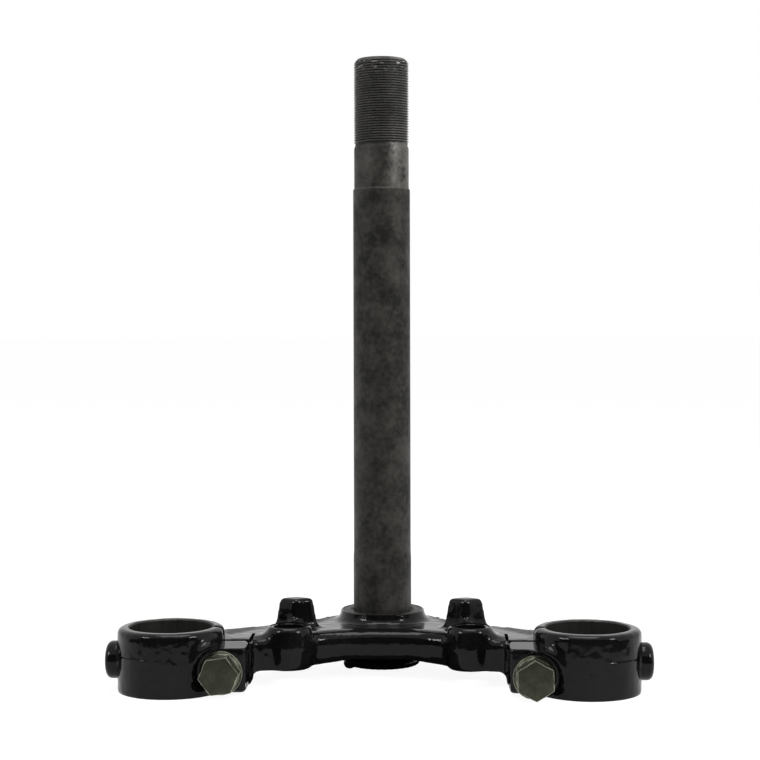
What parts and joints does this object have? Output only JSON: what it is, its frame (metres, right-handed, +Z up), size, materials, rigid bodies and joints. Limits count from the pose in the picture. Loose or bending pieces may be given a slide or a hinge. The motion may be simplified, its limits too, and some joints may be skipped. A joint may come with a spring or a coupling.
{
  "type": "motorbike steering stem",
  "caption": "Lower fork yoke with a pressed and welded stem tube: clamps a fork leg at each end and turns in the frame's head bearings.",
  "frame": {"origin": "on the stem's axis, in the plane of the bearing collar's top face", "axes": "+Z up along the stem to its thread, +X across to the fork leg at the right in the front view, +Y back towards the rider"},
  "size_m": [0.2032, 0.0921, 0.2419],
  "materials": {
    "painted_forging": "gloss black paint over a forged surface, with bare machined rims",
    "stem_steel": "dark grey turned steel with uneven oil stain",
    "bolt_zinc": "dull zinc plating with rubbed edges"
  },
  "bodies": {
    "root": {"bridge": "painted_forging", "stem_tube": "stem_steel", "weld_bead": "painted_forging", "pinch_bolt_left": "bolt_zinc", "pinch_bolt_right": "bolt_zinc"}
  },
  "joints": []
}
